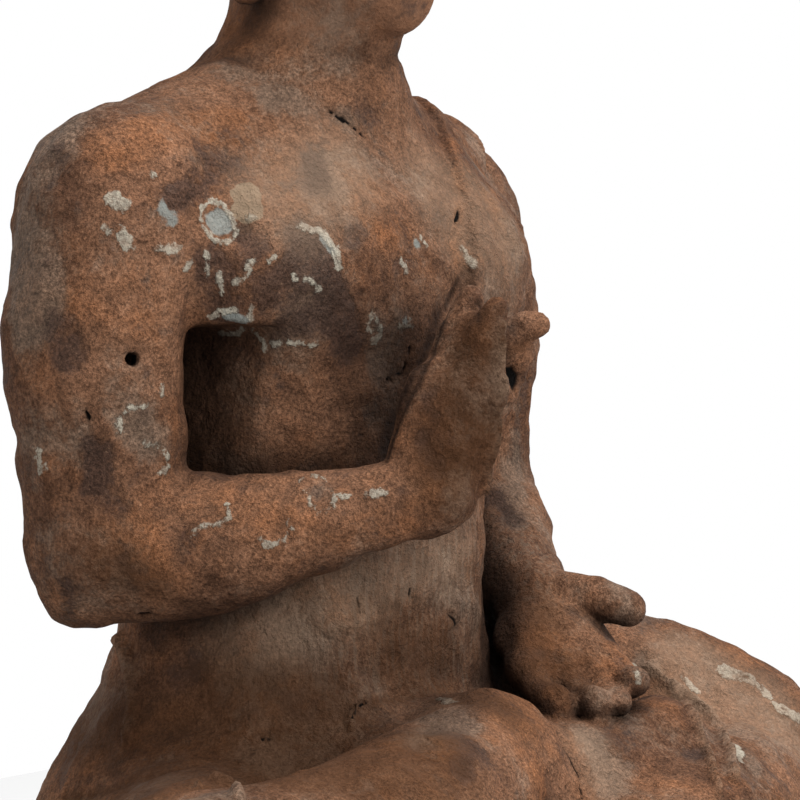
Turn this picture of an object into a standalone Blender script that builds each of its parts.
"""A seated bronze Buddha, cast as one with its low base. Metres, +Z up, facing -Y."""
import bpy
import bmesh
from math import cos, pi, radians, sin
from mathutils import Matrix, Vector

# The figure's own height, seat to the tip of the finial; every joint below keeps its share of it
FIGURE_HEIGHT = 0.575
PARTS_IN_HEIGHT = 575

# The base: how far it reaches past the knees, in front of the shins and behind the back
BASE_SIDE_MARGIN = 0.014
BASE_FRONT_MARGIN = 0.012
BASE_BACK_MARGIN = 0.036
BASE_HEIGHT = 0.048
BASE_STEP_HEIGHT = 0.020
BASE_STEP_INSET = 0.010
BASE_EDGE_ROUND = 0.004
BASE_SQUARENESS = 2.6
BASE_SEGMENTS = 72
EDGE_SEGMENTS = 2
EDGE_ANGLE = 50
SEAT_SINK = 0.004

# The folded cloth over the left shoulder, how far it stands off the body and where it starts and ends
FLAP_INNER_EDGE = 0.020
FLAP_WIDTH = 0.050
FLAP_THICKNESS = 0.0045
FLAP_HEM = 185
FLAP_TOP = 350

# Locks of hair: radius, spacing and the lowest row, in degrees below level
CURL_SIZE = 0.0060
CURL_PITCH = 0.0118
CURL_SINK_RATIO = 0.25
CURL_START_ANGLE = -28

# Grain of the solid
VOXEL = 0.0024
SMOOTH_PASSES = 4
SMOOTH_FACTOR = 0.5
TRIANGLE_COUNT = 7900

PART = FIGURE_HEIGHT / PARTS_IN_HEIGHT

# Torso: height, half width, half depth to the front, half depth to the back, centre forward or back
TORSO = [
    (-10, 119, 88, 92, 6),
    (20, 120, 88, 92, 6),
    (60, 114, 80, 84, 2),
    (95, 100, 74, 73, -4),
    (127, 89, 69, 66, -8),
    (160, 86, 68, 64, -10),
    (190, 89, 69, 66, -9),
    (225, 98, 72, 70, -6),
    (260, 107, 76, 73, -4),
    (290, 110, 73, 72, -2),
    (315, 98, 61, 62, 0),
    (338, 70, 48, 50, 0),
    (356, 46, 41, 43, -3),
]
TORSO_SIDES = 48
TORSO_STEPS = 3

# Limbs: joints as across, forward or back, up, radius
SHOULDER_SLOPE = [(18, -2, 332, 34), (70, 0, 314, 34), (106, 1, 300, 35)]
RIGHT_UPPER_ARM = [(-112, 0, 290, 36), (-125, 0, 250, 35.5), (-124, -2, 210, 33), (-120, -3, 171, 31.5)]
LEFT_UPPER_ARM = [(113, -1, 290, 36), (128, -2, 252, 37), (127, -2, 210, 33.5), (127, -3, 171, 33)]
RIGHT_FOREARM = [(-120, -3, 168, 31.5), (-104, -38, 168, 27.5), (-85, -71, 176, 20.5), (-66, -100, 184, 16),
                 (-57, -113, 187, 16)]
LEFT_FOREARM = [(127, -3, 170, 33), (118, -24, 158, 28), (101, -48, 143, 21.5), (89, -66, 132, 18)]
RIGHT_THIGH = [(-60, 10, 40, 47), (-122, -45, 40, 43), (-193, -105, 42, 42)]
LEFT_THIGH = [(64, 10, 50, 50), (127, -44, 70, 53), (165, -78, 68, 51), (193, -104, 56, 45)]
RIGHT_SHIN = [(-193, -108, 42, 41), (-112, -120, 56, 39), (-45, -114, 70, 33), (-8, -102, 77, 26)]
LEFT_SHIN = [(193, -108, 42, 42), (100, -145, 38, 38), (10, -158, 32, 29), (-45, -156, 26, 23)]
RIGHT_FOOT = [(-8, -102, 77, 26), (12, -109, 66, 24), (44, -122, 67, 22), (92, -126, 75, 20)]
NECK = [(0, -4, 325, 41), (0, -11, 350, 38), (0, -16, 380, 36)]
FINIAL = [(0, 0, 530, 13), (0, 0, 546, 9.5), (0, 0, 571, 4)]

# Rounded masses: centre, then half sizes
SHOULDER_CAP = ((112, 2, 286), (40, 38, 48))
CHEST = ((51, -34, 271), (57, 37, 36))
RIGHT_ELBOW = ((-128, 4, 152), (17, 17, 17))
LAP = ((12, -58, 34), (125, 88, 62))
SLEEVE_END = ((114, -26, 109), (15, 15, 14))

# The hollow between the upper arm and the side of the chest
ARMPIT = ((95, -30, 204), (13, 34, 49))

# Head, on plain proportions: the brow, the nose and the chin stand a third of the face apart
SKULL = ((0, -8, 452), (52, 60, 58))
HAIR = ((0, -8, 452), (54.5, 62.5, 60.5))
HAIR_FRONT = (-68, 492)
HAIR_NAPE = (52, 424)
CROWN_KNOT = ((0, 0, 510), (29, 30, 28))
KNOT_BARE = 9
FACE = ((0, -30, 428), (44.5, 42, 59))
JAW = ((0, -36, 402), (35, 30, 30))
MUZZLE = ((0, -52, 402), (19, 17, 17))
CHIN = ((0, -56, 384), (15, 13, 13))
CHEEK = ((21, -47, 411), (17, 18, 19))
NOSE = [(0, -68, 453, 4.2), (0, -75, 433, 5), (0, -79.5, 418, 6.2)]
NOSTRIL = ((6.8, -73.5, 415), (4.6, 5.5, 4.2))
BROW = [(3, -71.5, 452, 3), (13, -70.5, 458, 3.2), (25, -64, 457.5, 3), (35, -54, 450, 2.6)]
EYELID = ((19, -59, 439), (12.5, 11.5, 8))
UPPER_LIP = [(0, -71.8, 400.6, 3.1), (7, -70.6, 402, 3), (15.5, -63.5, 402.5, 1.8)]
LOWER_LIP = [(0, -71.4, 393.6, 3.6), (6.5, -69.8, 394.6, 3.1), (14, -63.5, 400, 1.6)]
EAR = ((49.5, -6, 441), (5.5, 12, 19))
EAR_RIM = [(50, -15, 425, 3), (51, -17, 446, 3), (53, -7, 461, 3.4), (54.5, 3, 449, 3.4), (52, 1, 430, 3.6),
           (49, -5, 411, 4.4), (46, -9, 393, 4.8), (44, -15, 385, 4.8), (45, -20, 394, 4.6), (47, -19, 411, 4.2),
           (49, -16, 425, 3.4)]

# Right hand, raised: the palm, then each finger's joints
RIGHT_PALM = ((-51, -112, 207), (14, 19, 34))
RIGHT_PALM_TURN = 30
RIGHT_FINGERS = [
    [(-60, -105, 186, 16), (-52, -116, 208, 14.5), (-50, -126, 230, 9.5)],
    [(-50, -127, 228, 10.5), (-49.5, -130.5, 245, 7.8), (-46.5, -134, 259, 4.8)],
    [(-47, -115, 222, 12), (-46, -119, 240, 9), (-44.5, -122, 252, 5)],
    [(-43, -107, 218, 12), (-41, -110, 243, 8.5), (-38.5, -114.5, 257, 6.5), (-37.5, -116, 263, 5.4)],
    [(-30, -107, 222, 10.5), (-28, -106, 242, 8), (-26, -109, 252, 6)],
    [(-27, -114, 228, 9.5), (-24, -121, 243, 9.2), (-20.5, -128, 250, 7), (-17.5, -134.5, 252.5, 4.8)],
    [(-33, -108, 200, 10.5), (-24, -117, 220, 8.2), (-18.5, -126, 240, 6.6)],
]

# Left hand, open on the lap: its wrist, the way it points and the fingers measured along it
LEFT_WRIST = (87, -69, 130)
LEFT_HAND_WAY = (-44, -53, -42)
LEFT_PALM_CENTRE = (26, 3, -2)
LEFT_PALM_SIZE = (30, 26, 10)
LEFT_FINGERS = [
    [(0, 0, 0, 16.5), (40, 16, -2, 9)],
    [(0, 0, 0, 16.5), (42, -14, -1, 9)],
    [(40, -15, -1, 7.6), (56, -15.5, -1, 7.4), (70, -13.5, 1.5, 7.4)],
    [(42, -1, -1, 7.4), (60, 2, -1, 6.8), (74, 4.5, 4.5, 7)],
    [(42, 10, -1, 7), (60, 13, 0, 5.6), (73, 16, 6, 5.2)],
    [(38, 20, 0, 7.4), (54, 23, 2, 6.2), (63, 24.5, 8, 6)],
    [(2, 8, 8, 10.5), (12, 22, 13, 8.6), (19, 33, 12.5, 7.8)],
]

SPAN_STEPS = 5
TUBE_SEGMENTS = 5
BALL_SEGMENTS = 3
COLLECTION = "buddha_statue"
BRONZE = (0.26, 0.14, 0.075, 1.0)
BRONZE_METALLIC = 0.2
BRONZE_ROUGHNESS = 0.85


def clear():
    for obj in list(bpy.data.objects):
        bpy.data.objects.remove(obj, do_unlink=True)


def through(points, steps):
    """A smooth run through the given joints, radius included."""
    rows = [Vector(p) for p in points]
    rows = [rows[0] * 2 - rows[1]] + rows + [rows[-1] * 2 - rows[-2]]
    run = []
    for i in range(1, len(rows) - 2):
        a, b, c, d = rows[i - 1:i + 3]
        for k in range(steps):
            t = k / steps
            run.append((b * 2 + (c - a) * t + (a * 2 - b * 5 + c * 4 - d) * t * t
                        + (b * 3 - a - c * 3 + d) * t ** 3) * 0.5)
    run.append(rows[-2])
    return run


def ball(bm, centre, half, turn=None):
    """An ellipsoid added to the gathering mesh."""
    place = Matrix.Translation(Vector(centre) * PART)
    if turn is not None:
        place = place @ turn
    size = Matrix.Diagonal((half[0] * PART, half[1] * PART, half[2] * PART, 1.0))
    bmesh.ops.create_icosphere(bm, subdivisions=BALL_SEGMENTS, radius=1.0, matrix=place @ size)


def tube(bm, joints):
    """A limb: a tube that tapers from joint to joint, with round ends."""
    run = through([Vector(j) for j in joints], SPAN_STEPS)
    curve = bpy.data.curves.new("limb", "CURVE")
    curve.dimensions = "3D"
    curve.bevel_depth = PART
    curve.bevel_resolution = TUBE_SEGMENTS
    curve.use_fill_caps = True
    spline = curve.splines.new("POLY")
    spline.points.add(len(run) - 1)
    for point, row in zip(spline.points, run):
        point.co = (row[0] * PART, row[1] * PART, row[2] * PART, 1.0)
        point.radius = row[3]
    holder = bpy.data.objects.new("limb", curve)
    mesh = holder.to_mesh()
    bm.from_mesh(mesh)
    holder.to_mesh_clear()
    bpy.data.objects.remove(holder)
    bpy.data.curves.remove(curve)
    for row in (run[0], run[-1]):
        ball(bm, row[:3], (row[3],) * 3)


def mirrored(joints):
    return [(-j[0],) + tuple(j[1:]) for j in joints]


def cut_away(bm, point, way):
    """Everything on the near side of a plane goes, and the cut is closed flat."""
    everything = bm.verts[:] + bm.edges[:] + bm.faces[:]
    cut = bmesh.ops.bisect_plane(bm, geom=everything, plane_co=point, plane_no=way, clear_inner=True)
    rim = [g for g in cut["geom_cut"] if isinstance(g, bmesh.types.BMEdge)]
    bmesh.ops.holes_fill(bm, edges=rim)


def torso(bm):
    """Unlike sections lofted up the body."""
    rows = through(TORSO, TORSO_STEPS)
    rings = []
    for z, wide, front, back, middle in rows:
        ring = []
        for k in range(TORSO_SIDES):
            a = 2 * pi * k / TORSO_SIDES
            deep = back if sin(a) > 0 else front
            ring.append(bm.verts.new(Vector((wide * cos(a), middle + deep * sin(a), z)) * PART))
        rings.append(ring)
    for low, high in zip(rings[:-1], rings[1:]):
        for k in range(TORSO_SIDES):
            n = (k + 1) % TORSO_SIDES
            bm.faces.new((low[k], low[n], high[n], high[k]))
    bm.faces.new(list(reversed(rings[0])))
    bm.faces.new(rings[-1])


def left_hand_frame():
    along = Vector(LEFT_HAND_WAY).normalized()
    up = Vector((0, 0, 1))
    up = (up - along * along.dot(up)).normalized()
    side = along.cross(up)
    return Matrix((along, -side, up)).transposed()


def left_hand(bm):
    frame = left_hand_frame()
    wrist = Vector(LEFT_WRIST)
    ball(bm, wrist + frame @ Vector(LEFT_PALM_CENTRE), LEFT_PALM_SIZE, frame.to_4x4())
    for finger in LEFT_FINGERS:
        tube(bm, [tuple(wrist + frame @ Vector(j[:3])) + (j[3],) for j in finger])


def right_hand(bm):
    ball(bm, *RIGHT_PALM, Matrix.Rotation(radians(RIGHT_PALM_TURN), 4, "Z"))
    for finger in RIGHT_FINGERS:
        tube(bm, finger)


def hairline(spot):
    """The lowest height of hair, from the brow back to the nape."""
    (front, high), (nape, low) = HAIR_FRONT, HAIR_NAPE
    return high + (spot.y - front) * (low - high) / (nape - front)


def curls(bm, mass, start, keep):
    """Rows of locks over a rounded mass."""
    centre, half = Vector(mass[0]), Vector(mass[1])
    pitch = CURL_PITCH / PART
    size = CURL_SIZE / PART
    span = pi / 2 - radians(start)
    rows = int(round(span * half.z / pitch))
    for r in range(rows + 1):
        rise = radians(start) + span * r / rows
        ring = cos(rise)
        count = max(1, int(round(pi * ring * (half.x + half.y) / pitch)))
        for k in range(count):
            a = 2 * pi * (k + 0.5 * (r % 2)) / count
            way = Vector((sin(a) * ring, cos(a) * ring, sin(rise)))
            spot = centre + Vector((way.x * half.x, way.y * half.y, way.z * half.z))
            if keep(spot):
                ball(bm, spot - way * size * CURL_SINK_RATIO, (size,) * 3)


def hair(bm):
    """A cap of hair cut off along the hairline, then its locks."""
    cap = bmesh.new()
    ball(cap, *HAIR)
    (front, high), (nape, low) = HAIR_FRONT, HAIR_NAPE
    slope = Vector((0, high - low, nape - front)).normalized()
    cut_away(cap, Vector((0, front, high)) * PART, slope)
    mesh = bpy.data.meshes.new("cap")
    cap.to_mesh(mesh)
    cap.free()
    bm.from_mesh(mesh)
    bpy.data.meshes.remove(mesh)
    knot, radius = Vector(CROWN_KNOT[0]), CROWN_KNOT[1][0]
    lift = CURL_SIZE / PART / 2
    curls(bm, HAIR, CURL_START_ANGLE, lambda s: s.z > hairline(s) + lift and (s - knot).length > radius)
    curls(bm, CROWN_KNOT, 0, lambda s: Vector((s.x, s.y)).length > KNOT_BARE)


def head(bm):
    for mass in (SKULL, FACE, JAW, MUZZLE, CHIN, CROWN_KNOT):
        ball(bm, *mass)
    for centre, half in (CHEEK, NOSTRIL, EYELID, EAR):
        ball(bm, centre, half)
        ball(bm, (-centre[0], centre[1], centre[2]), half)
    for joints in (NECK, FINIAL, NOSE):
        tube(bm, joints)
    for joints in (BROW, UPPER_LIP, LOWER_LIP, EAR_RIM):
        tube(bm, joints)
        tube(bm, mirrored(joints))
    hair(bm)


def trunk(bm):
    torso(bm)
    tube(bm, SHOULDER_SLOPE)
    tube(bm, mirrored(SHOULDER_SLOPE))
    for centre, half in (SHOULDER_CAP, CHEST):
        ball(bm, centre, half)
        ball(bm, (-centre[0], centre[1], centre[2]), half)


def armpits(bm):
    centre, half = ARMPIT
    ball(bm, centre, half)
    ball(bm, (-centre[0], centre[1], centre[2]), half)


def limbs(bm):
    for joints in (RIGHT_UPPER_ARM, LEFT_UPPER_ARM, RIGHT_FOREARM, LEFT_FOREARM):
        tube(bm, joints)
    for joints in (RIGHT_THIGH, LEFT_THIGH, RIGHT_SHIN, LEFT_SHIN, RIGHT_FOOT):
        tube(bm, joints)
    ball(bm, *RIGHT_ELBOW)
    ball(bm, *LAP)
    ball(bm, *SLEEVE_END)
    right_hand(bm)
    left_hand(bm)


def make_object(name, bm, home):
    mesh = bpy.data.meshes.new(name)
    bm.to_mesh(mesh)
    bm.free()
    obj = bpy.data.objects.new(name, mesh)
    home.objects.link(obj)
    return obj


def applied(obj):
    """The object with its modifiers made real."""
    graph = bpy.context.evaluated_depsgraph_get()
    graph.update()
    mesh = bpy.data.meshes.new_from_object(obj.evaluated_get(graph))
    old = obj.data
    obj.modifiers.clear()
    obj.data = mesh
    bpy.data.meshes.remove(old)
    return obj


def remesh(obj, passes):
    cells = obj.modifiers.new("one skin", "REMESH")
    cells.mode = "VOXEL"
    cells.voxel_size = VOXEL
    soften = obj.modifiers.new("soft joins", "SMOOTH")
    soften.factor = SMOOTH_FACTOR
    soften.iterations = passes
    return applied(obj)


def flap(skin, home):
    """The folded cloth: the skin moved out, kept only in a band over the left shoulder."""
    cloth = bpy.data.objects.new("flap", skin.data.copy())
    home.objects.link(cloth)
    lift = cloth.modifiers.new("stand off", "DISPLACE")
    lift.strength = FLAP_THICKNESS
    lift.mid_level = 0.0
    applied(cloth)
    bm = bmesh.new()
    bm.from_mesh(cloth.data)
    cut_away(bm, (0, 0, FLAP_HEM * PART), (0, 0, 1))
    cut_away(bm, (0, 0, FLAP_TOP * PART), (0, 0, -1))
    cut_away(bm, (FLAP_INNER_EDGE, 0, 0), (1, 0, 0))
    cut_away(bm, (FLAP_INNER_EDGE + FLAP_WIDTH, 0, 0), (-1, 0, 0))
    bmesh.ops.triangulate(bm, faces=bm.faces[:])
    bm.to_mesh(cloth.data)
    bm.free()
    return cloth


def triangles(obj):
    return sum(len(p.vertices) - 2 for p in obj.data.polygons)


def thin_out(obj, count):
    """Fewer triangles where the surface is flat."""
    fewer = obj.modifiers.new("fewer faces", "DECIMATE")
    fewer.ratio = count / triangles(obj)
    return applied(obj)


def reach(obj, axis, side):
    return max(side * v.co[axis] for v in obj.data.vertices) * side


def base(figure, home):
    """A plain low base in two steps, its outline a squared oval."""
    left = reach(figure, 0, -1) - BASE_SIDE_MARGIN
    right = reach(figure, 0, 1) + BASE_SIDE_MARGIN
    front = reach(figure, 1, -1) - BASE_FRONT_MARGIN
    back = reach(figure, 1, 1) + BASE_BACK_MARGIN
    half = max(-left, right)
    middle = (front + back) / 2
    bm = bmesh.new()
    steps = [(-BASE_HEIGHT, 0.0), (-BASE_HEIGHT + BASE_STEP_HEIGHT, 0.0),
             (-BASE_HEIGHT + BASE_STEP_HEIGHT, BASE_STEP_INSET), (0.0, BASE_STEP_INSET)]
    rings = []
    for height, inset in steps:
        ring = []
        for k in range(BASE_SEGMENTS):
            a = 2 * pi * k / BASE_SEGMENTS
            c, s = cos(a), sin(a)
            long, deep = half - inset, (back - front) / 2 - inset
            fit = (abs(c) ** BASE_SQUARENESS + abs(s) ** BASE_SQUARENESS) ** (-1 / BASE_SQUARENESS)
            ring.append(bm.verts.new((long * c * fit, middle + deep * s * fit, height)))
        rings.append(ring)
    for low, high in zip(rings[:-1], rings[1:]):
        for k in range(BASE_SEGMENTS):
            n = (k + 1) % BASE_SEGMENTS
            bm.faces.new((low[k], low[n], high[n], high[k]))
    bm.faces.new(list(reversed(rings[0])))
    bm.faces.new(rings[-1])
    slab = make_object("base", bm, home)
    edge = slab.modifiers.new("soft edges", "BEVEL")
    edge.width = BASE_EDGE_ROUND
    edge.segments = EDGE_SEGMENTS
    edge.limit_method = "ANGLE"
    edge.angle_limit = radians(EDGE_ANGLE)
    return applied(slab), middle


def combine(a, b, operation):
    weld = a.modifiers.new("combine", "BOOLEAN")
    weld.operation = operation
    weld.solver = "EXACT"
    weld.object = b
    applied(a)
    bpy.data.objects.remove(b, do_unlink=True)
    return a


def trim_below(obj, height):
    """Flat under the seat, just inside the base."""
    bm = bmesh.new()
    bm.from_mesh(obj.data)
    cut_away(bm, (0, 0, height), (0, 0, 1))
    bmesh.ops.triangulate(bm, faces=bm.faces[:])
    bm.to_mesh(obj.data)
    bm.free()


def bronze():
    mat = bpy.data.materials.new("weathered bronze")
    mat.use_nodes = True
    shader = mat.node_tree.nodes["Principled BSDF"]
    shader.inputs["Base Color"].default_value = BRONZE
    shader.inputs["Metallic"].default_value = BRONZE_METALLIC
    shader.inputs["Roughness"].default_value = BRONZE_ROUGHNESS
    return mat


def main():
    clear()
    home = bpy.data.collections.new(COLLECTION)
    cutters = bpy.data.collections.new("cutters")
    bpy.context.scene.collection.children.link(home)
    bpy.context.scene.collection.children.link(cutters)
    bm = bmesh.new()
    trunk(bm)
    figure = remesh(make_object("figure", bm, home), 1)
    bm = bmesh.new()
    armpits(bm)
    combine(figure, make_object("armpits", bm, cutters), "DIFFERENCE")
    bm = bmesh.new()
    bm.from_mesh(figure.data)
    bpy.data.objects.remove(figure, do_unlink=True)
    limbs(bm)
    head(bm)
    figure = remesh(make_object("figure", bm, home), SMOOTH_PASSES)
    cloth = flap(figure, home)
    bm = bmesh.new()
    bm.from_mesh(figure.data)
    bm.from_mesh(cloth.data)
    bpy.data.objects.remove(cloth, do_unlink=True)
    bpy.data.objects.remove(figure, do_unlink=True)
    figure = remesh(make_object("figure", bm, home), 1)
    trim_below(figure, -SEAT_SINK)
    thin_out(figure, TRIANGLE_COUNT)
    slab, middle = base(figure, home)
    statue = combine(slab, figure, "UNION")
    statue.name = "buddha_statue"
    statue.data.name = "buddha_statue"
    statue.data.transform(Matrix.Translation((0, -middle, BASE_HEIGHT)))
    for polygon in statue.data.polygons:
        polygon.use_smooth = True
    statue.data.materials.clear()
    statue.data.materials.append(bronze())


main()
